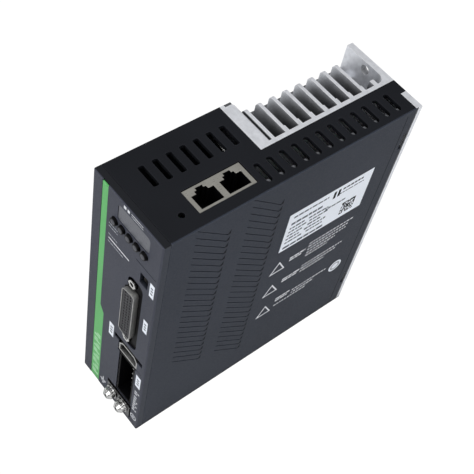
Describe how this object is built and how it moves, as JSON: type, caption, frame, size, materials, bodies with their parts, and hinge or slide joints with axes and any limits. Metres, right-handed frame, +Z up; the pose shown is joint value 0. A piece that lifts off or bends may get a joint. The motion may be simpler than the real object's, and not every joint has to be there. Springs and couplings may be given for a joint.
{
  "type": "servo drive",
  "caption": "Book-size servo drive with a finned aluminium heatsink, removable side cover, panel keys, and signal, encoder, power and network connectors.",
  "frame": {"origin": "middle of the whole drive's box at its bottom face", "axes": "+Z up, the front panel towards -Y, the finned side towards -X"},
  "size_m": [0.05, 0.159, 0.17],
  "materials": {
    "cast_aluminium": "milled, bare",
    "sheet_aluminium": "rolled, bare",
    "zinc_steel": "bright zinc plated",
    "charcoal_plastic": "fine spark-eroded texture",
    "slate_plastic": "fine spark-eroded texture",
    "key_plastic": "fine texture",
    "green_trim": "satin",
    "smoked_window": "frosted polycarbonate",
    "black_moulding": "satin",
    "circuit_board": "solder mask",
    "gold_contact": "gold plated",
    "tin_shield": "tin plated",
    "capacitor_sleeve": "shrink sleeve",
    "pad_silicone": "soft",
    "relay_plastic": "satin",
    "coil_tape": "wound tape",
    "fuse_ceramic": "glazed",
    "label_film": "printed film",
    "post_plastic": "natural"
  },
  "bodies": {
    "drive": {"heatsink": "cast_aluminium", "duct_cover": "sheet_aluminium", "duct_screws": "zinc_steel", "housing_shell": "charcoal_plastic", "side_cover": "slate_plastic", "cover_screw": "zinc_steel", "front_panel": "slate_plastic", "trim_stripe": "green_trim", "display_window": "smoked_window", "display_module": "black_moulding", "key_switches": "black_moulding", "panel_board": "circuit_board", "control_board": "circuit_board", "power_board": "circuit_board", "bus_board": "circuit_board", "board_spacers": "zinc_steel", "board_screws": "zinc_steel", "ethernet_shell": "tin_shield", "ethernet_insert": "black_moulding", "ethernet_contacts": "gold_contact", "usb_shell": "tin_shield", "usb_tongue": "black_moulding", "signal_shell": "zinc_steel", "signal_insert": "key_plastic", "signal_gasket": "black_moulding", "jack_screws": "zinc_steel", "encoder_shell": "zinc_steel", "encoder_insert": "black_moulding", "power_header": "black_moulding", "power_pins": "zinc_steel", "ground_block": "black_moulding", "ground_plate": "zinc_steel", "ground_screws": "zinc_steel", "vent_comb": "post_plastic", "bus_capacitors": "capacitor_sleeve", "power_module": "black_moulding", "thermal_pad": "pad_silicone", "module_screws": "zinc_steel", "rectifier": "black_moulding", "relay": "relay_plastic", "transformer": "coil_tape", "fuse": "fuse_ceramic", "rating_label": "label_film", "seal_sticker": "label_film", "port_tags": "label_film"},
    "mode_key": {"mode_key": "key_plastic"},
    "up_key": {"up_key": "key_plastic"},
    "down_key": {"down_key": "key_plastic"},
    "shift_key": {"shift_key": "key_plastic"},
    "set_key": {"set_key": "key_plastic"}
  },
  "joints": [
    {"name": "mode_key_press", "type": "slide", "parent": "drive", "child": "mode_key", "axis": [0, 1, 0], "range_m": [0, 0.0005], "stiffness_N_per_m": 20, "springref_m": -0.002},
    {"name": "up_key_press", "type": "slide", "parent": "drive", "child": "up_key", "axis": [0, 1, 0], "range_m": [0, 0.0005], "stiffness_N_per_m": 20, "springref_m": -0.002},
    {"name": "down_key_press", "type": "slide", "parent": "drive", "child": "down_key", "axis": [0, 1, 0], "range_m": [0, 0.0005], "stiffness_N_per_m": 20, "springref_m": -0.002},
    {"name": "shift_key_press", "type": "slide", "parent": "drive", "child": "shift_key", "axis": [0, 1, 0], "range_m": [0, 0.0005], "stiffness_N_per_m": 20, "springref_m": -0.002},
    {"name": "set_key_press", "type": "slide", "parent": "drive", "child": "set_key", "axis": [0, 1, 0], "range_m": [0, 0.0005], "stiffness_N_per_m": 20, "springref_m": -0.002}
  ]
}
